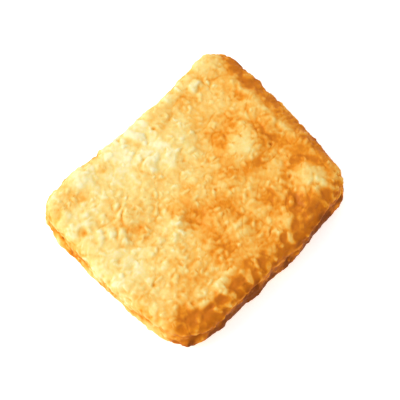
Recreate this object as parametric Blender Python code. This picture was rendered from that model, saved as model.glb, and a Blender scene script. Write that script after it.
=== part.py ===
"""A small square Japanese rice cracker, puffed and browned between two hot iron plates.

It is one solid: a nearly rectangular plate with rounded corners, blistered faces and torn, puffed side walls.
It lies on its underside. X runs along its longer sides, Y along its shorter ones, and Z points up.
"""

from math import cos, hypot, pi, tanh

import bmesh
import bpy
from mathutils import Vector, noise

MM = 0.001

# Driving sizes of the plate.
LENGTH = 31.6 * MM
WIDTH = 27.6 * MM
THICKNESS = 5.4 * MM

# The rolled edge between a face and the side wall: how far it runs in from the side, and how far it drops.
EDGE_RUN = 1.7 * MM
EDGE_DROP = 1.3 * MM

# Each corner of the plan has its own radius, and is pulled in from the true rectangle by its own shift.
CORNER_RADIUS = {
    (-1, -1): 4.0 * MM,
    (1, -1): 3.2 * MM,
    (1, 1): 4.4 * MM,
    (-1, 1): 2.4 * MM,
}
CORNER_SHIFT = {
    (-1, -1): Vector((-0.2, -1.0, 0)) * MM,
    (1, -1): Vector((-1.2, 0.3, 0)) * MM,
    (1, 1): Vector((0.8, -0.4, 0)) * MM,
    (-1, 1): Vector((0.1, -0.6, 0)) * MM,
}

# How far the middle of each side bows out from the straight line between its corners.
SIDE_BOW = {
    (-1, 0): 1.9 * MM,
    (1, 0): 0.6 * MM,
    (0, -1): 0.6 * MM,
    (0, 1): -1.0 * MM,
}

# Side of one mesh cell. Blisters narrower than about two cells are left out of the solid.
CELL = 0.64 * MM

# Broad waves of the whole plate, smaller swells between them, and the crown of its upper face.
WAVE_SPAN = 8.0 * MM
WAVE_HEIGHT = 0.34 * MM
SWELL_SPAN = 3.4 * MM
SWELL_HEIGHT = 0.26 * MM
CROWN_HEIGHT = 0.30 * MM
OUTLINE_SPAN = 6.5 * MM
OUTLINE_DRIFT = 0.40 * MM

# The outline's drift fades from the rim inwards as this power of the way out from the middle.
DRIFT_POWER = 4

# Blisters: domes of puffed rice packed side by side over every face.
BLISTER_SPAN = 2.6 * MM
BLISTER_HEIGHT = 0.60 * MM
SMALL_BLISTER_SPAN = 1.7 * MM
SMALL_BLISTER_HEIGHT = 0.20 * MM
UNDERSIDE_SHARE = 0.55
WALL_SHARE = 0.5

# No two domes are alike: each one's radius, in spans, and its share of the full height are drawn from these ranges,
# and its outline is warped by up to about this many spans.
DOME_RADIUS = (0.50, 0.95)
DOME_SHARE = (0.1, 1.0)
WARP = 0.6

# Width, in spans, over which a dome slopes down to the crease beside its neighbour.
CREASE_WIDTH = 0.50

# The irons pressed the tallest blisters down to about this height above the face. Some patches of the skin
# stayed smoother than others: the blisters' share of their height there lies within these limits.
PRESSED_HEIGHT = 0.36 * MM
PATCH_SPAN = 5.0 * MM
PATCH_SHARE = (0.25, 1.0)
PATCH_MIDDLE = 0.6

# The underside is hollowed a little in the middle, and the cracker stands on four blisters near its corners,
# each at one of these places and all equally high, which the iron pressed flat.
HOLLOW_DEPTH = 0.25 * MM
FEET = [
    (-11.2 * MM, -8.8 * MM),
    (10.8 * MM, -8.6 * MM),
    (11.2 * MM, 8.4 * MM),
    (-11.4 * MM, 8.8 * MM),
]
FOOT_RADIUS = 3.2 * MM
FOOT_HEIGHT = 0.55 * MM
CONTACT_PRESS = 0.18 * MM

# The side wall puffs out in two rolls, one above the other, with a seam between them that is torn in places.
WALL_PUFF = 0.32 * MM
SEAM_DEPTH = 0.36 * MM
SEAM_HALF_WIDTH = 1.3 * MM
SEAM_SPAN = 4.0 * MM
SEAM_WANDER = 1.0 * MM
SEAM_PATCHINESS = 1.2

# Towards +X and -Y the upper face rolls over: how far in from the side it starts, how far it drops on each of the
# two, how far its line wanders, and the low ridge along the +X line, which fades out over a span from the middle.
ROLL_RUN = 2.3 * MM
ROLL_DROPS = (0.60 * MM, 0.30 * MM)
ROLL_WANDER = 0.8 * MM
RIDGE_HEIGHT = 0.16 * MM
RIDGE_HALF_WIDTH = 0.9 * MM
RIDGE_SPAN = 9.0 * MM

# Swellings (height above 0) and sunken spots (below 0) of the upper face: x, y, radius and height.
SWELLINGS = [
    (10.9 * MM, -9.4 * MM, 3.0 * MM, 0.55 * MM),
    (8.6 * MM, -0.4 * MM, 3.4 * MM, 0.50 * MM),
    (-1.2 * MM, -8.4 * MM, 3.0 * MM, 0.45 * MM),
    (-10.4 * MM, 11.2 * MM, 2.6 * MM, 0.45 * MM),
    (-9.6 * MM, -4.2 * MM, 4.2 * MM, 0.40 * MM),
    (1.8 * MM, 6.0 * MM, 4.0 * MM, 0.35 * MM),
    (-3.9 * MM, -3.4 * MM, 2.7 * MM, -0.30 * MM),
    (-11.8 * MM, 9.0 * MM, 2.4 * MM, -0.25 * MM),
    (4.9 * MM, -7.4 * MM, 2.4 * MM, -0.25 * MM),
    (7.2 * MM, -10.6 * MM, 1.8 * MM, -0.25 * MM),
    (-13.6 * MM, -11.6 * MM, 2.2 * MM, -0.25 * MM),
    (-15.2 * MM, 5.4 * MM, 1.2 * MM, -0.25 * MM),
]

# Nicks torn into the rim as the rice puffed: x, y, radius and depth.
NICKS = [
    (2.6 * MM, -13.6 * MM, 2.6 * MM, 0.15 * MM),
    (-16.8 * MM, 5.2 * MM, 1.7 * MM, 0.15 * MM),
    (-12.2 * MM, -13.4 * MM, 1.9 * MM, 0.15 * MM),
    (16.0 * MM, 3.0 * MM, 2.6 * MM, 0.25 * MM),
    (5.4 * MM, 13.2 * MM, 2.2 * MM, 0.35 * MM),
]

# Sets which stretch of the endless noise this cracker is cut from.
NOISE_PLACE = Vector((3.7, 11.3, 5.9))

# Two scales for a dome's place, so that its radius and its height are drawn apart.
RADIUS_DRAW = 7
SHARE_DRAW = 13


def plate_block():
    """A block of the plate's size, divided into cells on all six sides."""
    block = bmesh.new()
    bmesh.ops.create_cube(block, size=1)
    bmesh.ops.scale(block, vec=(LENGTH, WIDTH, THICKNESS), verts=block.verts)
    for axis in range(3):
        along = [e for e in block.edges if abs(e.verts[0].co[axis] - e.verts[1].co[axis]) > CELL]
        cells = round(along[0].calc_length() / CELL)
        bmesh.ops.subdivide_edges(block, edges=along, cuts=cells - 1, use_grid_fill=True)
    return block


def rounded(point):
    """Where a point of the block lies once corners and edges are rounded, and the way that the surface faces there."""
    side = (1 if point.x > 0 else -1, 1 if point.y > 0 else -1)
    radius = CORNER_RADIUS[side]
    inner = Vector((
        max(-LENGTH / 2 + radius, min(LENGTH / 2 - radius, point.x)),
        max(-WIDTH / 2 + radius, min(WIDTH / 2 - radius, point.y)),
        0,
    ))
    beyond = Vector((point.x, point.y, 0)) - inner
    reach = max(abs(beyond.x), abs(beyond.y))
    outward = beyond.normalized() if reach > 0 else Vector()
    up = 1 if point.z > 0 else -1
    across = max(0, (reach - radius + EDGE_RUN) / EDGE_RUN)
    height = max(0, (abs(point.z) - THICKNESS / 2 + EDGE_DROP) / EDGE_DROP)
    spread = hypot(across, height)
    if across > 0 and height > 0:
        reach = radius - EDGE_RUN + EDGE_RUN * across / spread
        level = THICKNESS / 2 - EDGE_DROP + EDGE_DROP * height / spread
    else:
        level = abs(point.z)
    facing = outward * across / spread + Vector((0, 0, up * height / spread))
    return inner + outward * reach + Vector((0, 0, up * level)), facing


def skewed(point):
    """Pulls the corners in, bows the sides and lets the outline wander, so that no side is straight or parallel."""
    along_x = point.x / (LENGTH / 2)
    along_y = point.y / (WIDTH / 2)
    moved = point.copy()
    for (side_x, side_y), shift in CORNER_SHIFT.items():
        moved += shift * (1 + side_x * along_x) * (1 + side_y * along_y) / 4
    for (side_x, side_y), bow in SIDE_BOW.items():
        outward = side_x * along_x + side_y * along_y
        sideways = along_y if side_x else along_x
        moved += Vector((side_x, side_y, 0)) * bow * max(0, outward) * (1 - sideways ** 2)
    place = point / OUTLINE_SPAN + NOISE_PLACE
    rim = max(abs(along_x), abs(along_y)) ** DRIFT_POWER
    moved += Vector((noise.noise(place), noise.noise(place.yzx), 0)) * OUTLINE_DRIFT * rim
    return moved


def bump(distance, radius):
    """A smooth bump of height 1 that ends at the radius."""
    return 0.5 + 0.5 * cos(pi * distance / radius) if distance < radius else 0


def drawn(limits, place):
    """A value between the limits, drawn at random for the place but always the same there."""
    low, high = limits
    return low + (high - low) * (noise.cell(place) + 1) / 2


def warped(place):
    """Shifts a place of the noise a little, so that no dome is round."""
    return place + WARP * Vector((noise.noise(place), noise.noise(place.yzx), noise.noise(place.zxy)))


def blisters(point, span):
    """Height, 0 to 1, of the dome of puffed rice at this point. Domes stand about a span apart and differ in size."""
    distances, centres = noise.voronoi(warped(point / span + NOISE_PLACE))
    radius = drawn(DOME_RADIUS, centres[0] * RADIUS_DRAW)
    share = drawn(DOME_SHARE, centres[0] * SHARE_DRAW)
    beside_crease = min(1, (distances[1] - distances[0]) / CREASE_WIDTH)
    softened = beside_crease * beside_crease * (3 - 2 * beside_crease)
    return share * softened * max(0, 1 - (distances[0] / radius) ** 2)


def inside(point):
    """Distances in from the lines of the +X side and of the -Y side, which both wander a little."""
    wander = ROLL_WANDER * noise.noise(Vector((point.x, point.y, 0)) / SEAM_SPAN + NOISE_PLACE)
    return max(0, LENGTH / 2 - point.x + wander), max(0, WIDTH / 2 + point.y + wander)


def ridge(point):
    """Height, 0 to 1, of the low ridge where the face starts to roll over towards +X."""
    return bump(abs(inside(point)[0] - ROLL_RUN), RIDGE_HALF_WIDTH) * bump(abs(point.y), RIDGE_SPAN)


def roll_drop(point):
    """How far this point is lowered by the roll towards +X and -Y. The underside stays where it is."""
    drop = max(most * bump(distance, ROLL_RUN) for most, distance in zip(ROLL_DROPS, inside(point)))
    return drop * max(0, point.z) / (THICKNESS / 2)


def face_relief(point):
    """How far the face stands above or below its smooth form."""
    height = WAVE_HEIGHT * noise.noise(point / WAVE_SPAN + NOISE_PLACE)
    height += SWELL_HEIGHT * noise.noise(point / SWELL_SPAN - NOISE_PLACE)
    blistered = BLISTER_HEIGHT * blisters(point, BLISTER_SPAN)
    blistered += SMALL_BLISTER_HEIGHT * blisters(point, SMALL_BLISTER_SPAN)
    low, high = PATCH_SHARE
    patch = max(low, min(high, PATCH_MIDDLE + noise.noise(point / PATCH_SPAN - NOISE_PLACE)))
    height += patch * PRESSED_HEIGHT * tanh(blistered / PRESSED_HEIGHT)
    middle = cos(pi * point.x / LENGTH) * cos(pi * point.y / WIDTH)
    if point.z < 0:
        height = UNDERSIDE_SHARE * height - HOLLOW_DEPTH * middle
        foot = max(bump(hypot(point.x - x, point.y - y), FOOT_RADIUS) for x, y in FEET)
        return height + foot * (FOOT_HEIGHT - height)
    height += RIDGE_HEIGHT * ridge(point)
    height += CROWN_HEIGHT * middle
    for x, y, radius, rise in SWELLINGS:
        height += rise * bump(hypot(point.x - x, point.y - y), radius)
    return height


def wall_relief(point):
    """How far the side wall stands out. Two rolls puff out, and the seam between them is torn inwards."""
    along = Vector((point.x, point.y, 0)) / SEAM_SPAN + NOISE_PLACE
    seam_level = SEAM_WANDER * noise.noise(along)
    torn = max(0, min(1, 0.5 + SEAM_PATCHINESS * noise.noise(along + NOISE_PLACE)))
    height = WALL_PUFF * noise.noise(point / BLISTER_SPAN + NOISE_PLACE)
    height += WALL_SHARE * BLISTER_HEIGHT * blisters(point, BLISTER_SPAN)
    return height - torn * SEAM_DEPTH * bump(abs(point.z - seam_level), SEAM_HALF_WIDTH)


def nick_depth(point):
    """How far a torn nick takes the rim in at this point."""
    return sum(depth * bump(hypot(point.x - x, point.y - y), radius) for x, y, radius, depth in NICKS)


def shape(block):
    """Rounds the block, then puffs it."""
    for vertex in block.verts:
        point, facing = rounded(vertex.co)
        point = skewed(point)
        upright = abs(facing.z)
        relief = upright * face_relief(point) + (1 - upright) * wall_relief(point)
        inward = Vector((-point.x, -point.y, 0)).normalized()
        vertex.co = point + facing.normalized() * relief + inward * nick_depth(point)
        vertex.co.z -= roll_drop(point)


def set_down(block):
    """Flattens the lowest blisters where they lay on the iron, and puts the origin under the middle."""
    floor = min(v.co.z for v in block.verts) + CONTACT_PRESS
    for vertex in block.verts:
        vertex.co.z = max(vertex.co.z - floor, 0)
    for axis in range(2):
        places = [v.co[axis] for v in block.verts]
        middle = (min(places) + max(places)) / 2
        for vertex in block.verts:
            vertex.co[axis] -= middle


def crust_material():
    """Golden baked crust."""
    material = bpy.data.materials.new("golden_crust")
    material.use_nodes = True
    shader = material.node_tree.nodes["Principled BSDF"]
    shader.inputs["Base Color"].default_value = (0.86, 0.47, 0.13, 1)
    shader.inputs["Roughness"].default_value = 0.55
    shader.inputs["Metallic"].default_value = 0
    return material


def main():
    for old in list(bpy.data.objects):
        bpy.data.objects.remove(old)
    block = plate_block()
    shape(block)
    set_down(block)
    bmesh.ops.triangulate(block, faces=block.faces)
    bmesh.ops.recalc_face_normals(block, faces=block.faces)
    mesh = bpy.data.meshes.new("rice_cracker")
    block.to_mesh(mesh)
    block.free()
    mesh.shade_smooth()
    mesh.materials.append(crust_material())
    cracker = bpy.data.objects.new("rice_cracker", mesh)
    bpy.context.collection.objects.link(cracker)


main()
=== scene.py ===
# %% [markdown]
# # A small baked rice cracker
#
# This lesson dresses one square Japanese rice cracker: a plate of puffed rice dough that was browned
# between two hot iron plates. The solid already has the right size and form. Here it gets the crust that
# the eye expects: blisters, burst bubbles, wrinkles and grain as real mesh, and a finish that is pale
# where the dough puffed, orange where the glaze gathered and brown at the sides.

# %% Load the solid
from functools import cached_property
from math import cos, hypot, pi, radians, sin, sqrt, tanh

import bmesh
import bpy
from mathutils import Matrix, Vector, noise


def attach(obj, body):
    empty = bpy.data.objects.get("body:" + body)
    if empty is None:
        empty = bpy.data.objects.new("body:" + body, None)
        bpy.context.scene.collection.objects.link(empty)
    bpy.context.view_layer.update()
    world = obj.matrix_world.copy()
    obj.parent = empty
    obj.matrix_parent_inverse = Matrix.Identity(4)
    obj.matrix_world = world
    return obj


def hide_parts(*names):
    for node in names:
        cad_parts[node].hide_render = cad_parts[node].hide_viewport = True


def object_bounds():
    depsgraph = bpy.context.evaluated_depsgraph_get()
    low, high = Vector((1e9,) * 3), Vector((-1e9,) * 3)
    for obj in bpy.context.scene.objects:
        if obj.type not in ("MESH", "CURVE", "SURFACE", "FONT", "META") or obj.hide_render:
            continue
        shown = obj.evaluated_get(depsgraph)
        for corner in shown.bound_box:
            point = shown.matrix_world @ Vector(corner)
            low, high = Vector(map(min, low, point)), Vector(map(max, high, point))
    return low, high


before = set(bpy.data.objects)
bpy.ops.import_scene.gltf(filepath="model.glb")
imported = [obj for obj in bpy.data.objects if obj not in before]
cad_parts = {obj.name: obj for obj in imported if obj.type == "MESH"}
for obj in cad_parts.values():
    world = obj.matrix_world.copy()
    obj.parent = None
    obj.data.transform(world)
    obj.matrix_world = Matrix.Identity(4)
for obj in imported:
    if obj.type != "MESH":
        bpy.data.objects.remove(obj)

MM = 0.001
cad_low, cad_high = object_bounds()
print("solid measures", [round(side / MM, 2) for side in cad_high - cad_low], "mm")

# %% [markdown]
# ## The plate
#
# The real cracker is a pillow with two pressed faces. Its form comes from the same few sizes as the
# solid's: a block with rounded corners and edges, whose corners are pulled out of square and whose sides
# bow a little. A finer crust on another form would not fit the solid, so the values of its form and of
# its coarse relief are repeated as they are there. Two are changed for the finer mesh: the small blisters
# are smaller, and the lowest blisters are pressed a little flatter.

# %% Sizes of the plate
LENGTH = 31.6 * MM
WIDTH = 27.6 * MM
THICKNESS = 5.4 * MM
EDGE_RUN = 1.7 * MM
EDGE_DROP = 1.3 * MM

# A corner or a side is named by its direction along X and along Y.
CORNER_RADIUS = {
    (-1, -1): 4.0 * MM,
    (1, -1): 3.2 * MM,
    (1, 1): 4.4 * MM,
    (-1, 1): 2.4 * MM,
}
CORNER_SHIFT = {
    (-1, -1): Vector((-0.2, -1.0, 0)) * MM,
    (1, -1): Vector((-1.2, 0.3, 0)) * MM,
    (1, 1): Vector((0.8, -0.4, 0)) * MM,
    (-1, 1): Vector((0.1, -0.6, 0)) * MM,
}
SIDE_BOW = {
    (-1, 0): 1.9 * MM,
    (1, 0): 0.6 * MM,
    (0, -1): 0.6 * MM,
    (0, 1): -1.0 * MM,
}
OUTLINE_SPAN = 6.5 * MM
OUTLINE_DRIFT = 0.40 * MM
DRIFT_POWER = 4

# Sets which stretch of the endless noise this cracker is cut from.
NOISE_PLACE = Vector((3.7, 11.3, 5.9))


# %% [markdown]
# A block is cut into fine cells, one direction after the other. The cells are 0.17 mm wide, little more
# than a pixel of the picture, so that what the eye can see is real mesh and only the finest grain is left
# to the material.

# %% Cut the block
CELL = 0.17 * MM


def fine_block():
    """A block of the plate's size, divided into cells on all six sides."""
    block = bmesh.new()
    bmesh.ops.create_cube(block, size=1)
    bmesh.ops.scale(block, vec=(LENGTH, WIDTH, THICKNESS), verts=block.verts)
    for axis in range(3):
        along = [e for e in block.edges if abs(e.verts[0].co[axis] - e.verts[1].co[axis]) > CELL]
        cells = round(along[0].calc_length() / CELL)
        bmesh.ops.subdivide_edges(block, edges=along, cuts=cells - 1, use_grid_fill=True)
    return block


crust = fine_block()
print("block has", len(crust.faces), "cells")


# %% [markdown]
# A point near a corner or an edge of the block is drawn in onto a rounded form. The way the surface faces
# there is kept, because the relief is raised along it. The rounded plate is then pulled out of square.

# %% Round and bow the block
def rounded(point):
    """Rounds the corners and edges at a point of the block. Gives its new place and the way it faces."""
    side = (1 if point.x > 0 else -1, 1 if point.y > 0 else -1)
    radius = CORNER_RADIUS[side]
    inner = Vector((
        max(-LENGTH / 2 + radius, min(LENGTH / 2 - radius, point.x)),
        max(-WIDTH / 2 + radius, min(WIDTH / 2 - radius, point.y)),
        0,
    ))
    beyond = Vector((point.x, point.y, 0)) - inner
    reach = max(abs(beyond.x), abs(beyond.y))
    outward = beyond.normalized() if reach > 0 else Vector()
    up = 1 if point.z > 0 else -1
    across = max(0, (reach - radius + EDGE_RUN) / EDGE_RUN)
    height = max(0, (abs(point.z) - THICKNESS / 2 + EDGE_DROP) / EDGE_DROP)
    spread = hypot(across, height)
    if across > 0 and height > 0:
        reach = radius - EDGE_RUN + EDGE_RUN * across / spread
        level = THICKNESS / 2 - EDGE_DROP + EDGE_DROP * height / spread
    else:
        level = abs(point.z)
    facing = outward * across / spread + Vector((0, 0, up * height / spread))
    return inner + outward * reach + Vector((0, 0, up * level)), facing


def skewed(point):
    """Shifts the corners, bows the sides and lets the outline wander."""
    along_x = point.x / (LENGTH / 2)
    along_y = point.y / (WIDTH / 2)
    moved = point.copy()
    # The shares of the four corners add up to 1 at every point.
    for (side_x, side_y), shift in CORNER_SHIFT.items():
        moved += shift * (1 + side_x * along_x) * (1 + side_y * along_y) / 4
    for (side_x, side_y), bow in SIDE_BOW.items():
        outward = side_x * along_x + side_y * along_y
        sideways = along_y if side_x else along_x
        moved += Vector((side_x, side_y, 0)) * bow * max(0, outward) * (1 - sideways ** 2)
    place = point / OUTLINE_SPAN + NOISE_PLACE
    rim = max(abs(along_x), abs(along_y)) ** DRIFT_POWER
    moved += Vector((noise.noise(place), noise.noise(place.yzx), 0)) * OUTLINE_DRIFT * rim
    return moved


# %% [markdown]
# ## The puffed relief
#
# Steam puffs the dough into domes that crowd each other, with a crease between neighbours. Voronoi noise
# gives exactly that: it returns the nearest dome's centre and the distance to it, and the gap between
# the nearest and the second nearest centre says how close the crease is.

# %% Blisters
RADIUS_DRAW = 7
SHARE_DRAW = 13
DOME_RADIUS = (0.50, 0.95)
DOME_SHARE = (0.1, 1.0)
WARP = 0.6
CREASE_WIDTH = 0.50


def bump(distance, radius):
    """A smooth bump of height 1 that ends at the radius."""
    return 0.5 + 0.5 * cos(pi * distance / radius) if distance < radius else 0


def spot(point, x, y, radius):
    """A smooth bump of height 1 round one place of the plate."""
    return bump(hypot(point.x - x, point.y - y), radius)


def drawn(limits, place):
    """A value between the limits, drawn at random for the place but always the same there."""
    low, high = limits
    # Cell noise runs from -1 to 1.
    return low + (high - low) * (noise.cell(place) + 1) / 2


def warped(place):
    """Shifts a place of the noise a little, so that no dome is round."""
    return place + WARP * Vector((noise.noise(place), noise.noise(place.yzx), noise.noise(place.zxy)))


def blisters(point, span):
    """Height, 0 to 1, of the dome of puffed rice at this point."""
    distances, centres = noise.voronoi(warped(point / span + NOISE_PLACE))
    radius = drawn(DOME_RADIUS, centres[0] * RADIUS_DRAW)
    share = drawn(DOME_SHARE, centres[0] * SHARE_DRAW)
    beside_crease = min(1, (distances[1] - distances[0]) / CREASE_WIDTH)
    softened = beside_crease * beside_crease * (3 - 2 * beside_crease)
    return share * softened * max(0, 1 - (distances[0] / radius) ** 2)


# %% [markdown]
# Along the +X and -Y sides the upper face rolls over towards the rim, and a low ridge stands where the
# +X roll begins. Both keep to lines that wander a little, because no side of a cracker is straight.

# %% Rolls along two sides
SEAM_SPAN = 4.0 * MM
ROLL_RUN = 2.3 * MM
ROLL_WANDER = 0.8 * MM
RIDGE_HALF_WIDTH = 0.9 * MM
RIDGE_HALF_LENGTH = 9.0 * MM

# How far the roll lowers the rim, at the +X side and at the -Y side.
ROLL_DROPS = (0.60 * MM, 0.30 * MM)


def inside(point):
    """Distances in from the lines of the +X side and of the -Y side, which both wander a little."""
    wander = ROLL_WANDER * noise.noise(Vector((point.x, point.y, 0)) / SEAM_SPAN + NOISE_PLACE)
    return max(0, LENGTH / 2 - point.x + wander), max(0, WIDTH / 2 + point.y + wander)


def ridge(point):
    """Height, 0 to 1, of the low ridge where the face starts to roll over towards +X."""
    return bump(abs(inside(point)[0] - ROLL_RUN), RIDGE_HALF_WIDTH) * bump(abs(point.y), RIDGE_HALF_LENGTH)


def roll_drop(point):
    """How far this point is lowered by the roll. The underside stays where it is."""
    drop = max(most * bump(distance, ROLL_RUN) for most, distance in zip(ROLL_DROPS, inside(point)))
    return drop * max(0, point.z) / (THICKNESS / 2)


# %% [markdown]
# Both faces were pressed by the irons, so their tallest domes end in flats. Broad waves pass under the
# domes, and the pressure was uneven, so that some patches are smoother than others.

# %% Pressed faces
WAVE_SPAN = 8.0 * MM
WAVE_HEIGHT = 0.34 * MM
SWELL_SPAN = 3.4 * MM
SWELL_HEIGHT = 0.26 * MM
BLISTER_SPAN = 2.6 * MM
BLISTER_HEIGHT = 0.60 * MM
SMALL_BLISTER_SPAN = 1.4 * MM
SMALL_BLISTER_HEIGHT = 0.20 * MM
PRESSED_HEIGHT = 0.36 * MM
PATCH_SPAN = 5.0 * MM
PATCH_SHARE = (0.25, 1.0)
PATCH_MIDDLE = 0.6


def pressed_relief(point):
    """The waves and the pressed blisters that both faces have."""
    height = WAVE_HEIGHT * noise.noise(point / WAVE_SPAN + NOISE_PLACE)
    height += SWELL_HEIGHT * noise.noise(point / SWELL_SPAN - NOISE_PLACE)
    blistered = BLISTER_HEIGHT * blisters(point, BLISTER_SPAN)
    blistered += SMALL_BLISTER_HEIGHT * blisters(point, SMALL_BLISTER_SPAN)
    low, high = PATCH_SHARE
    patch = max(low, min(high, PATCH_MIDDLE + noise.noise(point / PATCH_SPAN - NOISE_PLACE)))
    return height + patch * PRESSED_HEIGHT * tanh(blistered / PRESSED_HEIGHT)


# %% [markdown]
# A slight crown and a few listed swellings and hollows give this one cracker its own upper face: the raised
# lobe at one corner, the pale bumps and the sunken spots where glaze gathers. The underside is a little
# hollow and stands on four blisters near its corners, so that the cracker doesn't rock.

# %% Upper face and underside
CROWN_HEIGHT = 0.30 * MM
RIDGE_HEIGHT = 0.16 * MM
UNDERSIDE_SHARE = 0.55
HOLLOW_DEPTH = 0.25 * MM
FOOT_RADIUS = 3.2 * MM
FOOT_HEIGHT = 0.55 * MM

# X and Y of each foot.
FEET = [
    (-11.2 * MM, -8.8 * MM),
    (10.8 * MM, -8.6 * MM),
    (11.2 * MM, 8.4 * MM),
    (-11.4 * MM, 8.8 * MM),
]

# X, Y, radius and rise of each swelling. A sunken spot has a rise below 0.
SWELLINGS = [
    (10.9 * MM, -9.4 * MM, 3.0 * MM, 0.55 * MM),
    (8.6 * MM, -0.4 * MM, 3.4 * MM, 0.50 * MM),
    (-1.2 * MM, -8.4 * MM, 3.0 * MM, 0.45 * MM),
    (-10.4 * MM, 11.2 * MM, 2.6 * MM, 0.45 * MM),
    (-9.6 * MM, -4.2 * MM, 4.2 * MM, 0.40 * MM),
    (1.8 * MM, 6.0 * MM, 4.0 * MM, 0.35 * MM),
    (-3.9 * MM, -3.4 * MM, 2.7 * MM, -0.30 * MM),
    (-11.8 * MM, 9.0 * MM, 2.4 * MM, -0.25 * MM),
    (4.9 * MM, -7.4 * MM, 2.4 * MM, -0.25 * MM),
    (7.2 * MM, -10.6 * MM, 1.8 * MM, -0.25 * MM),
    (-13.6 * MM, -11.6 * MM, 2.2 * MM, -0.25 * MM),
    (-15.2 * MM, 5.4 * MM, 1.2 * MM, -0.25 * MM),
]


def towards_middle(point):
    """1 in the middle of the plate, and 0 at its sides."""
    return cos(pi * point.x / LENGTH) * cos(pi * point.y / WIDTH)


def upper_relief(point):
    """How far the upper face stands above or below its smooth form."""
    height = pressed_relief(point)
    height += RIDGE_HEIGHT * ridge(point)
    height += CROWN_HEIGHT * towards_middle(point)
    for x, y, radius, rise in SWELLINGS:
        height += rise * spot(point, x, y, radius)
    return height


def underside_relief(point):
    """How far the underside stands out of its smooth form, or lies in it."""
    height = UNDERSIDE_SHARE * pressed_relief(point) - HOLLOW_DEPTH * towards_middle(point)
    foot = max(spot(point, x, y, FOOT_RADIUS) for x, y in FEET)
    return height + foot * (FOOT_HEIGHT - height)


# %% [markdown]
# The side wall was free to puff. It has two rolls, one above the other, with a seam between them that
# tore open in places, and shallow nicks take its rim in.

# %% Side wall
WALL_SHARE = 0.5
WALL_PUFF = 0.32 * MM
SEAM_DEPTH = 0.36 * MM
SEAM_HALF_WIDTH = 1.3 * MM
SEAM_WANDER = 1.0 * MM
SEAM_TORN = 0.5
SEAM_PATCHINESS = 1.2

# X, Y, radius and depth of each nick.
NICKS = [
    (2.6 * MM, -13.6 * MM, 2.6 * MM, 0.15 * MM),
    (-16.8 * MM, 5.2 * MM, 1.7 * MM, 0.15 * MM),
    (-12.2 * MM, -13.4 * MM, 1.9 * MM, 0.15 * MM),
    (16.0 * MM, 3.0 * MM, 2.6 * MM, 0.25 * MM),
    (5.4 * MM, 13.2 * MM, 2.2 * MM, 0.35 * MM),
]


def seam(point):
    """How torn, 0 to 1, the side wall is at this point of the seam between its two rolls."""
    along = Vector((point.x, point.y, 0)) / SEAM_SPAN + NOISE_PLACE
    level = SEAM_WANDER * noise.noise(along)
    torn = max(0, min(1, SEAM_TORN + SEAM_PATCHINESS * noise.noise(along + NOISE_PLACE)))
    return torn * bump(abs(point.z - level), SEAM_HALF_WIDTH)


def wall_relief(point):
    """How far the side wall stands out, with two puffed rolls and the seam between them."""
    height = WALL_PUFF * noise.noise(point / BLISTER_SPAN + NOISE_PLACE)
    height += WALL_SHARE * BLISTER_HEIGHT * blisters(point, BLISTER_SPAN)
    return height - SEAM_DEPTH * seam(point)


def nick_depth(point):
    """How far a torn nick takes the rim in at this point."""
    return sum(depth * spot(point, x, y, radius) for x, y, radius, depth in NICKS)


# %% [markdown]
# ## The fine crust
#
# Between the blisters a baked crust has three more kinds of relief: tiny bubbles about a millimetre
# wide, bubbles that burst into little craters with a raised lip, and wrinkles where the drying skin
# shrank. Each is a short function of the place, so their sizes can be changed apart.

# %% Tiny bubbles, craters and wrinkles
TINY_SPAN = 1.0 * MM
TINY_HEIGHT = 0.19 * MM
WRINKLE_SPAN = 2.4 * MM
WRINKLE_WIDTH = 0.10
WRINKLE_DEPTH = 0.08 * MM
GRAIN_SPAN = 0.55 * MM
GRAIN_HEIGHT = 0.06 * MM
GRAIN_FADE = 1
GRAIN_STEP = 2
GRAIN_OCTAVES = 3

# A crater's radius is in spans, and the place and half width of its lip are in radii.
CRATER_SPAN = 2.3 * MM
CRATER_CHANCE = 0.42
CRATER_RADIUS = (0.10, 0.26)
CRATER_DEPTH = (0.12 * MM, 0.34 * MM)
CRATER_UNEVEN = 0.7
LIP_HEIGHT = 0.18
LIP_PLACE = 1.2
LIP_HALF_WIDTH = 0.5


def crater(point):
    """Depth below 0, or height of the lip above 0, of a burst bubble at this point."""
    distances, centres = noise.voronoi(point / CRATER_SPAN - NOISE_PLACE)
    if drawn((0, 1), centres[0] * SHARE_DRAW) > CRATER_CHANCE:
        return 0
    radius = drawn(CRATER_RADIUS, centres[0] * RADIUS_DRAW)
    depth = drawn(CRATER_DEPTH, centres[0] * (RADIUS_DRAW + SHARE_DRAW))
    away = distances[0] * (1 + CRATER_UNEVEN * noise.noise(point / TINY_SPAN))
    lip = LIP_HEIGHT * bump(abs(away - LIP_PLACE * radius), LIP_HALF_WIDTH * radius)
    return depth * (lip - bump(away, radius))


def wrinkle(point):
    """How deep, 0 to 1, a wrinkle is here. Wrinkles follow the zero lines of a slow noise."""
    folded = abs(noise.noise(point / WRINKLE_SPAN - NOISE_PLACE))
    return max(0, 1 - folded / WRINKLE_WIDTH) ** 2


def fine_relief(point):
    """The relief that is too fine for the solid."""
    height = TINY_HEIGHT * blisters(point, TINY_SPAN)
    height += crater(point)
    height -= WRINKLE_DEPTH * wrinkle(point)
    return height + GRAIN_HEIGHT * noise.fractal(point / GRAIN_SPAN, GRAIN_FADE, GRAIN_STEP, GRAIN_OCTAVES)


# %% [markdown]
# Two places have a rougher skin of their own. The seam of the side wall shows the open pores of the crumb,
# and along the -Y rim the browned skin stands up in ragged flakes, or is torn away.

# %% Torn seam and flaking rim
TORN_SPAN = 0.8 * MM
TORN_DEPTH = 0.35 * MM
TORN_REACH = 0.6
FLAKE_RUN = 2.4 * MM
FLAKE_SPAN = 1.1 * MM
FLAKE_STEEPNESS = 2.5
FLAKE_HEIGHT = 0.14 * MM


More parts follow.
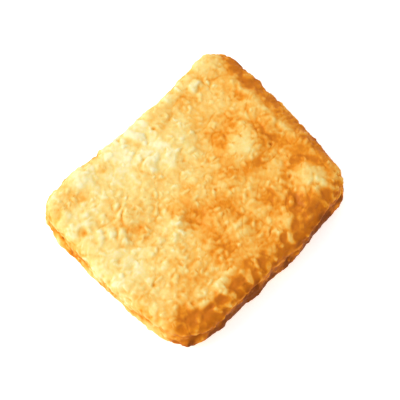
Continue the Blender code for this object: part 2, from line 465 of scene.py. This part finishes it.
def torn_relief(point):
    """Open pores of the crumb, where the seam tore the skin of the side wall."""
    distances, _ = noise.voronoi(point / TORN_SPAN + NOISE_PLACE)
    return -TORN_DEPTH * seam(point) * max(0, 1 - distances[0] / TORN_REACH)


def flakes(point):
    """How far, -1 to 1, the ragged skin of the -Y rim stands up, or is torn away, at this point."""
    ragged = FLAKE_STEEPNESS * noise.noise(point / FLAKE_SPAN + NOISE_PLACE)
    upper = max(0, point.z) / (THICKNESS / 2)
    return upper * bump(inside(point)[1], FLAKE_RUN) * max(-1, min(1, ragged))


# %% [markdown]
# ## Browning, one place at a time
#
# The irons browned this cracker unevenly: most along the -Y rim, little on the swellings and more in some
# spots. The browner
# -Y rim and +X roll are partly painted shade, where they turn away from the lamp at the left, and the paler
# +Y and -X rims are painted light, where they face it. Each amount is a step on the material's scale of
# baking, which runs from 0 to 1.

# %% Browning of the upper face
# The +X roll and the -Y rim are browner: partly baking, partly painted shade where they turn away from the
# lamp.
ROLL_HEAT_AND_SHADE = 0.20
RIM_HEAT_AND_SHADE = 0.32
RIM_RUN = 2.6 * MM

# How much paler the +Y rim is, and the -X rim: painted light where they face the lamp at the left.
FAR_RIM_HIGHLIGHT = 0.22
LEFT_RIM_HIGHLIGHT = 0.05
HIGHLIGHT_RUN = 4.5 * MM

# How much paler a raised flake is, and a swelling for each millimetre of its rise.
PALE_FLAKE = 0.30
PALE_PER_RISE = 0.20 / MM

# The raised lobe has a browner ring round it.
LOBE = (10.4 * MM, -9.6 * MM)
LOBE_RADIUS = 3.0 * MM
LOBE_RING = 1.0 * MM
LOBE_HEAT = 0.16

# X, Y, radius and browning of each spot. A pale spot has a browning below 0.
# The brown spot at -7.2, 10.0 is painted shade beside a bump, and the broad pale spot round -1.0, 8.0 is
# partly painted light from the lamp at the left.
SCORCH_AND_LIGHT_SPOTS = [
    (-15.0 * MM, -12.0 * MM, 4.6 * MM, 0.34),
    (-10.6 * MM, -14.8 * MM, 3.4 * MM, 0.30),
    (-11.2 * MM, -9.4 * MM, 4.6 * MM, 0.06),
    (-9.2 * MM, 0.4 * MM, 2.2 * MM, 0.14),
    (-7.2 * MM, 10.0 * MM, 1.5 * MM, 0.26),
    (-15.2 * MM, 5.4 * MM, 1.2 * MM, 0.14),
    (10.6 * MM, -9.4 * MM, 2.4 * MM, 0.08),
    (11.6 * MM, -12.0 * MM, 4.0 * MM, -0.16),
    (4.8 * MM, -8.2 * MM, 2.6 * MM, 0.12),
    (-1.0 * MM, 8.0 * MM, 9.0 * MM, -0.22),
    (4.6 * MM, 7.4 * MM, 4.0 * MM, -0.12),
    (8.4 * MM, -0.2 * MM, 3.4 * MM, -0.12),
    (-12.4 * MM, 4.4 * MM, 3.2 * MM, -0.06),
    (-13.7 * MM, -2.2 * MM, 4.0 * MM, -0.14),
    (-12.6 * MM, -6.4 * MM, 3.4 * MM, -0.08),
    (-7.0 * MM, -1.4 * MM, 1.8 * MM, -0.10),
]


def baked_and_lit(point):
    """How much more than its surroundings this place of the upper face is browned, painted shade and painted
    light included.
    """
    inside_x, inside_y = inside(point)
    heat_and_light = max(ROLL_HEAT_AND_SHADE * bump(inside_x, ROLL_RUN), RIM_HEAT_AND_SHADE * bump(inside_y, RIM_RUN))
    heat_and_light -= PALE_FLAKE * flakes(point)
    heat_and_light -= FAR_RIM_HIGHLIGHT * bump(max(0, WIDTH / 2 - point.y), HIGHLIGHT_RUN)
    heat_and_light -= LEFT_RIM_HIGHLIGHT * bump(max(0, LENGTH / 2 + point.x), HIGHLIGHT_RUN)
    for x, y, radius, rise in SWELLINGS:
        heat_and_light -= PALE_PER_RISE * rise * spot(point, x, y, radius)
    for x, y, radius, more in SCORCH_AND_LIGHT_SPOTS:
        heat_and_light += more * spot(point, x, y, radius)
    from_lobe = hypot(point.x - LOBE[0], point.y - LOBE[1])
    return heat_and_light + LOBE_HEAT * bump(abs(from_lobe - LOBE_RADIUS), LOBE_RING)


def browned_and_lit(point, upright):
    """The browning of the whole crust, painted shade and painted light included. A brown place runs on down
    the side wall, and a pale one, such as the painted light of the rims, doesn't.
    """
    heat_and_light = baked_and_lit(point) * (1 if point.z > 0 else 1 - upright)
    return heat_and_light if heat_and_light > 0 else heat_and_light * upright


# %% [markdown]
# ## Shaping the crust
#
# Every point of the block is rounded, skewed and then moved by the relief along the way it faces. The
# relief of the faces fades into that of the side wall round the edges.

# %% Shape the crust
# The irons left the faces a little smoother than the side wall: their share of the fine relief.
FACE_SHARE = 0.95


def relief(point, upright):
    """How far the crust stands out at this point. Upright is 1 on the faces and 0 on the side wall."""
    face = underside_relief(point) if point.z < 0 else upper_relief(point)
    height = upright * face + (1 - upright) * (wall_relief(point) + torn_relief(point))
    height += (1 - upright + FACE_SHARE * upright) * fine_relief(point)
    return height + FLAKE_HEIGHT * flakes(point)


def shape(block):
    """Rounds the block, puffs it and adds the fine crust.

    Gives, for each vertex, its place on the plain plate, its share of side wall and its browning, painted
    light and shade included.
    """
    plain = []
    wall = []
    heat_and_light = []
    for vertex in block.verts:
        point, facing = rounded(vertex.co)
        point = skewed(point)
        upright = abs(facing.z)
        inward = Vector((-point.x, -point.y, 0)).normalized()
        vertex.co = point + facing.normalized() * relief(point, upright) + inward * nick_depth(point)
        vertex.co.z -= roll_drop(point)
        plain.append(point)
        wall.append(1 - upright)
        heat_and_light.append(browned_and_lit(point, upright))
    return plain, wall, heat_and_light


plain_points, walls, heats_and_light = shape(crust)
print("browning runs from", round(min(heats_and_light), 2), "to", round(max(heats_and_light), 2))

# %% [markdown]
# The cracker is set down where the solid lies: its middle over the origin, its lowest blisters pressed
# flat on the ground plane, and its top no higher than the solid's.

# %% Set the crust down in the solid's place
CONTACT_PRESS = 0.22 * MM


def set_down(block):
    """Presses the lowest blisters flat, and puts the crust in the middle of the solid's box."""
    floor = min(v.co.z for v in block.verts) + CONTACT_PRESS
    for vertex in block.verts:
        vertex.co.z = min(max(vertex.co.z - floor, cad_low.z), cad_high.z)
    for axis in range(2):
        places = [v.co[axis] for v in block.verts]
        shift = (cad_low[axis] + cad_high[axis] - min(places) - max(places)) / 2
        for vertex in block.verts:
            vertex.co[axis] += shift


set_down(crust)

# %% [markdown]
# ## What stands out and what lies deep
#
# Colour follows the relief: glaze gathers in the hollows and heat dries the tops. A copy of the mesh is
# smoothed until its relief is gone, and the distance from that copy says how far each point stands out
# or lies deep. Smoothing also rounds the plate's own edges, so a plain plate is smoothed the same way and
# its share is taken off. The rest is stored as an attribute, at a fine and at a broad scale, for the
# material to read.

# %% Measure the relief
FINE_STEPS = 12
BROAD_STEPS = 120
STEP_SHARE = 0.5

# How far a point stands out where the attribute is 1.
FULL_FINE = 0.12 * MM
FULL_BROAD = 0.35 * MM


def smoothed(block, levels):
    """For each number of smoothing steps, how far each vertex has moved."""
    smooth = block.copy()
    results = []
    done = 0
    for steps in levels:
        for _ in range(steps - done):
            bmesh.ops.smooth_vert(
                smooth,
                verts=smooth.verts,
                factor=STEP_SHARE,
                use_axis_x=True,
                use_axis_y=True,
                use_axis_z=True,
            )
        done = steps
        results.append([even.co - rough.co for rough, even in zip(block.verts, smooth.verts)])
    smooth.free()
    return results


def standing(block, plain, levels):
    """For each number of smoothing steps, how far each vertex stands out from its surroundings."""
    plate = block.copy()
    for vertex, point in zip(plate.verts, plain):
        vertex.co = point
    pairs = zip(smoothed(block, levels), smoothed(plate, levels))
    facing = [vertex.normal.copy() for vertex in block.verts]
    plate.free()
    return [
        [(edge - move).dot(normal) for move, edge, normal in zip(moves, edges, facing)]
        for moves, edges in pairs
    ]


bmesh.ops.recalc_face_normals(crust, faces=crust.faces)
crust.normal_update()
fine_standing, broad_standing = standing(crust, plain_points, (FINE_STEPS, BROAD_STEPS))
print("relief runs from", round(min(broad_standing) / MM, 2), "to", round(max(broad_standing) / MM, 2), "mm")

# %% [markdown]
# The mesh then becomes the one piece of the dressed cracker, which takes the place of the solid.

# %% Make the piece
crust_mesh = bpy.data.meshes.new("crust")
crust.to_mesh(crust_mesh)
crust.free()
crust_mesh.shade_smooth()


def store(mesh, name, values):
    """Keeps one number for each vertex in the mesh, under a name that a material can read."""
    mesh.attributes.new(name, "FLOAT", "POINT").data.foreach_set("value", values)


store(crust_mesh, "wall", walls)
store(crust_mesh, "browning", heats_and_light)
store(crust_mesh, "fine", [value / FULL_FINE for value in fine_standing])
store(crust_mesh, "broad", [value / FULL_BROAD for value in broad_standing])

cracker = bpy.data.objects.new("crust", crust_mesh)
bpy.context.collection.objects.link(cracker)
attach(cracker, "root")
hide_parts("rice_cracker")
print("crust has", 2 * len(crust_mesh.polygons), "triangles")


# %% [markdown]
# ## Writing a finish as sums
#
# A material is a network of nodes, but what it says is arithmetic: this much brown where the surface is
# deep, less where it is high. Two small classes let it be written that way. A Value is one output of a
# node, and a sum or product of Values adds the Math node that works it out.

# %% Values and finishes
class Value:
    """A number or colour that varies over a surface: one output of a node."""

    def __init__(self, finish, socket):
        self.finish = finish
        self.socket = socket

    def maths(self, operation, *terms):
        """What a Math node makes of this Value and the other terms."""
        return self.finish.add("ShaderNodeMath", {"operation": operation}, dict(enumerate((self, *terms))))

    def __add__(self, other):
        return self.maths("ADD", other)

    __radd__ = __add__

    def __sub__(self, other):
        return self.maths("SUBTRACT", other)

    def __rsub__(self, other):
        return self.maths("MULTIPLY", -1).maths("ADD", other)

    def __mul__(self, other):
        return self.maths("MULTIPLY", other)

    __rmul__ = __mul__


class Finish:
    """A material under construction, with the Principled shader that it ends in."""

    def __init__(self, name):
        self.material = bpy.data.materials.new(name)
        self.material.use_nodes = True
        self.nodes = self.material.node_tree.nodes
        self.links = self.material.node_tree.links
        self.shader = self.nodes["Principled BSDF"]

    @cached_property
    def place(self):
        """Where a point of the surface lies, in the piece's own coordinates."""
        return self.add("ShaderNodeTexCoord", {}, {}, output="Object")

    def feed(self, socket, value):
        """Links a Value to a socket, or sets the socket to a plain value."""
        if isinstance(value, Value):
            self.links.new(value.socket, socket)
        else:
            socket.default_value = value

    def add(self, kind, settings, sockets, output=0):
        """Adds a node, with its settings first, then feeds its sockets, and gives one of its outputs."""
        node = self.nodes.new(kind)
        for name, value in settings.items():
            if name == "stops":
                self.set_stops(node.color_ramp.elements, value)
            else:
                setattr(node, name, value)
        for name, value in sockets.items():
            self.feed(node.inputs[name], value)
        return Value(self, node.outputs[output])

    def set_stops(self, elements, stops):
        """Gives a ramp its stops: a place from 0 to 1, and the colour there."""
        for _ in stops[2:]:
            elements.new(0.5)
        for element, (place, colour) in zip(elements, stops):
            element.position = place
            element.color = colour

    def paint(self, sockets):
        """Feeds the sockets of the shader, by their names."""
        for name, value in sockets.items():
            self.feed(self.shader.inputs[name], value)

    def attribute(self, name):
        """A number that was stored in the mesh under this name."""
        return self.add("ShaderNodeAttribute", {"attribute_name": name}, {}, output="Fac")

    def along(self, way):
        """How far a point lies along a way: a direction, divided by the distance that counts as 1."""
        return self.add(
            "ShaderNodeVectorMath", {"operation": "DOT_PRODUCT"}, {0: self.place, 1: way}, output="Value",
        )

    def cloudy(self, span, detail, roughness, shift):
        """Soft noise, about 0.5 in the mean, whose clouds are a span wide."""
        return self.add(
            "ShaderNodeTexNoise",
            {"noise_dimensions": "4D"},
            {"Vector": self.place, "W": shift, "Scale": 1 / span, "Detail": detail, "Roughness": roughness},
        )

    def between(self, value, low, high):
        """0 at low, 1 at high, smooth between them and even beyond. High may be the lesser number."""
        return self.add(
            "ShaderNodeMapRange",
            {"interpolation_type": "SMOOTHSTEP"},
            {"Value": value, "From Min": low, "From Max": high},
        )


# %% [markdown]
# ## The crust's finish
#
# All that browns the crust is added up to one number, its baking, which a ramp turns into a colour. Painted
# shade and painted light are added into it too.
# Colours are linear. The paler ones are the puffed dough, the deeper ones the baked glaze of soy and oil.

# %% Colours
BAKING = [
    (0.00, (0.76, 0.69, 0.40, 1)),
    (0.25, (0.74, 0.56, 0.19, 1)),
    (0.50, (0.72, 0.375, 0.066, 1)),
    (0.68, (0.67, 0.225, 0.010, 1)),
    (0.84, (0.46, 0.120, 0.004, 1)),
    (1.00, (0.20, 0.045, 0.002, 1)),
]

# %% [markdown]
# Clouds of noise vary the baking, from broad patches down to specks, and the finest of them makes the
# grain. Each has a shift of its own, or their blotches would fall on one another.

# %% Clouds
# Span, detail, roughness and shift of each.
CLOUDS = {
    "patches": (7.0 * MM, 1.0, 0.5, 1.0),
    "mottle": (3.6 * MM, 2.0, 0.5, 2.0),
    "freckles": (1.3 * MM, 1.0, 0.5, 5.0),
    "speckle": (0.5 * MM, 2.0, 0.6, 3.0),
    "grain": (0.22 * MM, 3.0, 0.6, 4.0),
}
CLOUD_MEAN = 0.5

# %% [markdown]
# The faces are baked more towards the +X and -Y sides, away from the lamp at the left, and part of that
# darkening is painted shade.
# Hollows, where glaze gathers, are baked more than what stands out. A soft upper limit keeps brown spots
# from running together into dark ones.

# %% Baking of the faces
HALF_SPAN = 18 * MM
# Browner away from the lamp at the left: partly baking, partly painted shade.
TOWARDS_FIRE_AND_SHADE = (sqrt(0.5) / HALF_SPAN, -sqrt(0.5) / HALF_SPAN, 0)
EVEN_BAKING = 0.33
FIRE_AND_SHADE_BAKING = 0.30
PATCH_BAKING = 0.26
TOASTED_BAKING = 0.18
TOASTED_LIMITS = (0.42, 0.64)
TOASTED_MEAN = 0.4
FRECKLE_BAKING = 0.30
SPECKLE_BAKING = 0.22
BROAD_BAKING = 0.34
BROAD_LIMITS = (-1.5, 1.5)
FINE_BAKING = 0.18
MOST_BAKING = 0.82
LIMIT_SOFTNESS = 0.25


def face_baking_and_light(finish, clouds):
    """How far the crust is baked, painted shade and painted light included, before the side wall's own
    share.
    """
    toasted = finish.between(clouds["mottle"], *TOASTED_LIMITS)
    broad = finish.between(finish.attribute("broad"), *BROAD_LIMITS)
    baking_and_light = EVEN_BAKING + FIRE_AND_SHADE_BAKING * finish.between(finish.along(TOWARDS_FIRE_AND_SHADE), -1, 1)
    baking_and_light = baking_and_light + PATCH_BAKING * (clouds["patches"] - CLOUD_MEAN)
    baking_and_light = baking_and_light + TOASTED_BAKING * (toasted - TOASTED_MEAN)
    baking_and_light = baking_and_light + FRECKLE_BAKING * (clouds["freckles"] - CLOUD_MEAN)
    baking_and_light = baking_and_light + SPECKLE_BAKING * (clouds["speckle"] - CLOUD_MEAN)
    baking_and_light = baking_and_light + finish.attribute("browning")
    baking_and_light = baking_and_light - BROAD_BAKING * (broad - CLOUD_MEAN)
    baking_and_light = baking_and_light - FINE_BAKING * finish.attribute("fine")
    return baking_and_light.maths("SMOOTH_MIN", MOST_BAKING, LIMIT_SOFTNESS)


# %% [markdown]
# The side wall is blotchier than the faces. The side that is turned away from the light gets painted shade,
# in brown spots low down, and the side that is turned to the light is a little browner, or it would look
# bleached.

# %% Baking of the side wall
AWAY_FROM_LIGHT = (0.3 / (WIDTH / 2), -1 / (WIDTH / 2), 0)
AWAY_LIMITS = (0.2, 0.9)
LIT_LIMITS = (-0.5, -0.95)
LOW_LIMITS = (4.5 * MM, 1.0 * MM)
SPOT_LIMITS = (0.25, 0.65)
WALL_LIMITS = (0.15, 0.9)
WALL_BAKING = 0.04
LIT_BAKING = 0.20
SHADE_SPOT_BAKING = 0.26
WALL_MOTTLE_BAKING = 0.4
WALL_FRECKLE_BAKING = 0.5


def wall_baking_and_shade(finish, clouds):
    """How much more than the faces the side wall is baked, with painted shade in spots low down on the side
    away from the light.
    """
    away = finish.along(AWAY_FROM_LIGHT)
    level = finish.add("ShaderNodeSeparateXYZ", {}, {"Vector": finish.place}, output="Z")
    # Painted shade: brown spots low down on the side away from the light.
    painted_shade = SHADE_SPOT_BAKING * finish.between(level, *LOW_LIMITS) * finish.between(away, *AWAY_LIMITS)
    painted_shade = painted_shade * finish.between(clouds["mottle"], *SPOT_LIMITS)
    baking_and_light = WALL_BAKING + LIT_BAKING * finish.between(away, *LIT_LIMITS) + painted_shade
    baking_and_light = baking_and_light + WALL_MOTTLE_BAKING * (clouds["mottle"] - CLOUD_MEAN)
    baking_and_light = baking_and_light + WALL_FRECKLE_BAKING * (clouds["freckles"] - CLOUD_MEAN)
    return finish.between(finish.attribute("wall"), *WALL_LIMITS) * baking_and_light


# %% [markdown]
# The more the crust is baked, the more it shines, because the glaze is thickest there. A thin coat of oil
# lies on the faces only. A little light passes into the crumb and comes out again, reddened.

# %% Crust
COAT = 0.12
COAT_LIMITS = (0.0, 0.4)
DULLNESS = 0.68
BAKED_SHINE = 0.22
SPECKLE_DULLNESS = 0.12
GRAIN_BUMP = {"Strength": 0.4, "Distance": 0.04 * MM}
CRUST_BODY = {
    "Specular IOR Level": 0.04,
    "Coat Roughness": 0.3,
    "Subsurface Weight": 0.12,
    "Subsurface Radius": (1.0, 0.45, 0.15),
    "Subsurface Scale": 0.5 * MM,
}


def crust_finish():
    """Mottled golden crust, from cream where it is hardly baked to brown where it is baked most."""
    finish = Finish("baked_crust")
    clouds = {name: finish.cloudy(*values) for name, values in CLOUDS.items()}
    # The baking carries painted shade and painted light as well as the crust's own browning.
    baking_and_light = face_baking_and_light(finish, clouds) + wall_baking_and_shade(finish, clouds)
    bare = finish.between(finish.attribute("wall"), *COAT_LIMITS)
    finish.paint(CRUST_BODY)
    finish.paint({
        "Base Color": finish.add("ShaderNodeValToRGB", {"stops": BAKING}, {"Fac": baking_and_light}, output="Color"),
        "Roughness": DULLNESS - BAKED_SHINE * baking_and_light + SPECKLE_DULLNESS * clouds["speckle"],
        "Normal": finish.add("ShaderNodeBump", {}, {**GRAIN_BUMP, "Height": clouds["grain"]}),
        "Coat Weight": COAT - COAT * bare,
    })
    return finish.material


crust_mesh.materials.append(crust_finish())

# %% [markdown]
# ## Floor, light and camera
#
# The photo is a bright catalogue picture: a white ground, a broad soft light from the left and hardly a
# shadow. The ground glows a little, so that it stays white beside the cracker too.

# %% Floor
WHITE = (1, 1, 1, 1)
FLOOR_SIZE = 3.0
FLOOR_GAP = 0.02 * MM
GROUND = {
    "Base Color": (0.9, 0.9, 0.9, 1),
    "Roughness": 0.9,
    "Specular IOR Level": 0.1,
    "Emission Color": WHITE,
    "Emission Strength": 0.45,
}


def white_floor():
    """A pale, faintly glowing floor, wide enough for every view and just clear of the feet."""
    sheet = bmesh.new()
    bmesh.ops.create_grid(sheet, x_segments=1, y_segments=1, size=FLOOR_SIZE / 2)
    bmesh.ops.translate(sheet, vec=(0, 0, -FLOOR_GAP), verts=sheet.verts)
    mesh = bpy.data.meshes.new("floor")
    sheet.to_mesh(mesh)
    sheet.free()
    floor = bpy.data.objects.new("floor", mesh)
    bpy.context.collection.objects.link(floor)
    finish = Finish("white_ground")
    finish.paint(GROUND)
    mesh.materials.append(finish.material)


white_floor()

# %% [markdown]
# A white sky lights the cracker from all sides, and a large disk lamp at the left brings out its relief.

# %% Light
SKY_STRENGTH = 0.90
KEY_POWER = 2.8
KEY_SIZE = 0.5
KEY_DISTANCE = 0.6
KEY_HEIGHT = radians(42)

world = bpy.data.worlds.new("studio")
bpy.context.scene.world = world
world.use_nodes = True
sky = world.node_tree.nodes["Background"].inputs
sky["Color"].default_value = WHITE
sky["Strength"].default_value = SKY_STRENGTH


def aim(thing, target):
    """Turns a lamp or camera so that it looks at the target."""
    thing.rotation_euler = (target - thing.location).to_track_quat("-Z", "Y").to_euler()


middle = (cad_low + cad_high) / 2
key = bpy.data.objects.new("key", bpy.data.lights.new("key", "AREA"))
bpy.context.collection.objects.link(key)
key.data.shape = "DISK"
key.data.size = KEY_SIZE
key.data.energy = KEY_POWER
key_way = Vector((-sqrt(0.5) * cos(KEY_HEIGHT), sqrt(0.5) * cos(KEY_HEIGHT), sin(KEY_HEIGHT)))
key.location = middle + key_way * KEY_DISTANCE
aim(key, middle)

# %% [markdown]
# The camera looks steeply down with a long lens, so that the sides of the cracker stay parallel.

# %% Camera
LENS = 300
CLIP_START = 0.01
VIEW_TURN = radians(315)
VIEW_HEIGHT = radians(66)
VIEW_DISTANCE = 0.43

camera = bpy.data.objects.new("camera", bpy.data.cameras.new("camera"))
bpy.context.collection.objects.link(camera)
camera.data.lens = LENS
camera.data.clip_start = CLIP_START
back = Vector((sin(VIEW_TURN) * cos(VIEW_HEIGHT), -cos(VIEW_TURN) * cos(VIEW_HEIGHT), sin(VIEW_HEIGHT)))
camera.location = middle + back * VIEW_DISTANCE
aim(camera, middle)
bpy.context.scene.camera = camera
bpy.context.scene.view_settings.view_transform = "Standard"
